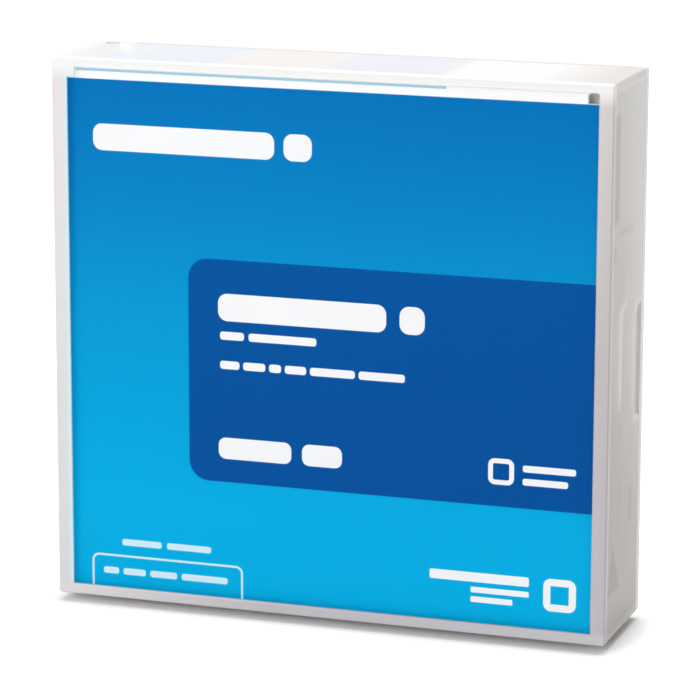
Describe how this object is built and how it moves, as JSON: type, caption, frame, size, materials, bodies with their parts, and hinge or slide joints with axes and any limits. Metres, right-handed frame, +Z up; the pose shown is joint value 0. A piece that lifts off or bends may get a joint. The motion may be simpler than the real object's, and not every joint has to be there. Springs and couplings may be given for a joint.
{
  "type": "data tape cartridge in hinged storage case",
  "caption": "Single-reel data tape cartridge standing in a translucent hinged storage case, with a folded insert card behind the lid.",
  "frame": {"origin": "middle of the closed case's underside", "axes": "+X to the right seen from the lid's side, +Y from the lid to the back, +Z up"},
  "size_m": [0.118, 0.0274, 0.113],
  "materials": {
    "milky_case": "frosted translucent polypropylene",
    "clear_case": "clear front window, frosted sides",
    "printed_card": "satin print",
    "dark_shell": "fine moulded texture",
    "screw_steel": "plated",
    "door_plastic": "moulded",
    "spring_steel": "drawn wire",
    "pin_steel": "ground",
    "clip_steel": "stamped",
    "tab_plastic": "moulded",
    "chip_board": "lacquered board",
    "hub_plastic": "moulded",
    "flange_plastic": "clear moulded",
    "tape_film": "edges of wound film",
    "plate_steel": "stamped",
    "brake_plastic": "moulded",
    "pad_plastic": "moulded"
  },
  "bodies": {
    "root": {"case_tray": "milky_case", "upper_shell": "dark_shell", "lower_shell": "dark_shell", "shell_screws": "screw_steel", "door_spring": "spring_steel", "leader_pin": "pin_steel", "leader_pin_clips": "clip_steel", "memory_chip": "chip_board", "tape_end": "tape_film", "brake_spring": "spring_steel"},
    "lid": {"case_lid": "clear_case", "insert_card": "printed_card"},
    "sliding_door": {"door": "door_plastic"},
    "write_protect": {"write_protect_tab": "tab_plastic"},
    "reel": {"reel_hub": "hub_plastic", "upper_flange": "flange_plastic", "tape_pack": "tape_film", "drive_plate": "plate_steel"},
    "brake": {"brake_button": "brake_plastic"},
    "release": {"release_pad": "pad_plastic"}
  },
  "joints": [
    {"name": "lid_hinge", "type": "hinge", "parent": "root", "child": "lid", "pos_m": [-0.055, 0.00975, 0.0565], "axis": [0, 0, -1], "range_deg": [0, 150]},
    {"name": "door_slide", "type": "slide", "parent": "root", "child": "sliding_door", "axis": [0, 0, 1], "range_m": [0, 0.0175], "stiffness_N_per_m": 20, "springref_m": -0.01, "deforming": ["door_spring"]},
    {"name": "write_protect_slide", "type": "slide", "parent": "root", "child": "write_protect", "axis": [1, 0, 0], "range_m": [0, 0.004]},
    {"name": "reel_spin", "type": "hinge", "parent": "root", "child": "reel", "pos_m": [0, 0, 0.0538], "axis": [0, 1, 0], "continuous": true},
    {"name": "brake_lift", "type": "slide", "parent": "root", "child": "brake", "axis": [0, -1, 0], "range_m": [0, 0.002], "stiffness_N_per_m": 400, "springref_m": -0.005, "deforming": ["brake_spring"]},
    {"name": "release_lift", "type": "slide", "parent": "reel", "child": "release", "axis": [0, -1, 0], "range_m": [0, 0.002]}
  ],
  "couplings": [
    {"joint": "release_lift", "follows": "brake_lift", "ratio": 1}
  ]
}
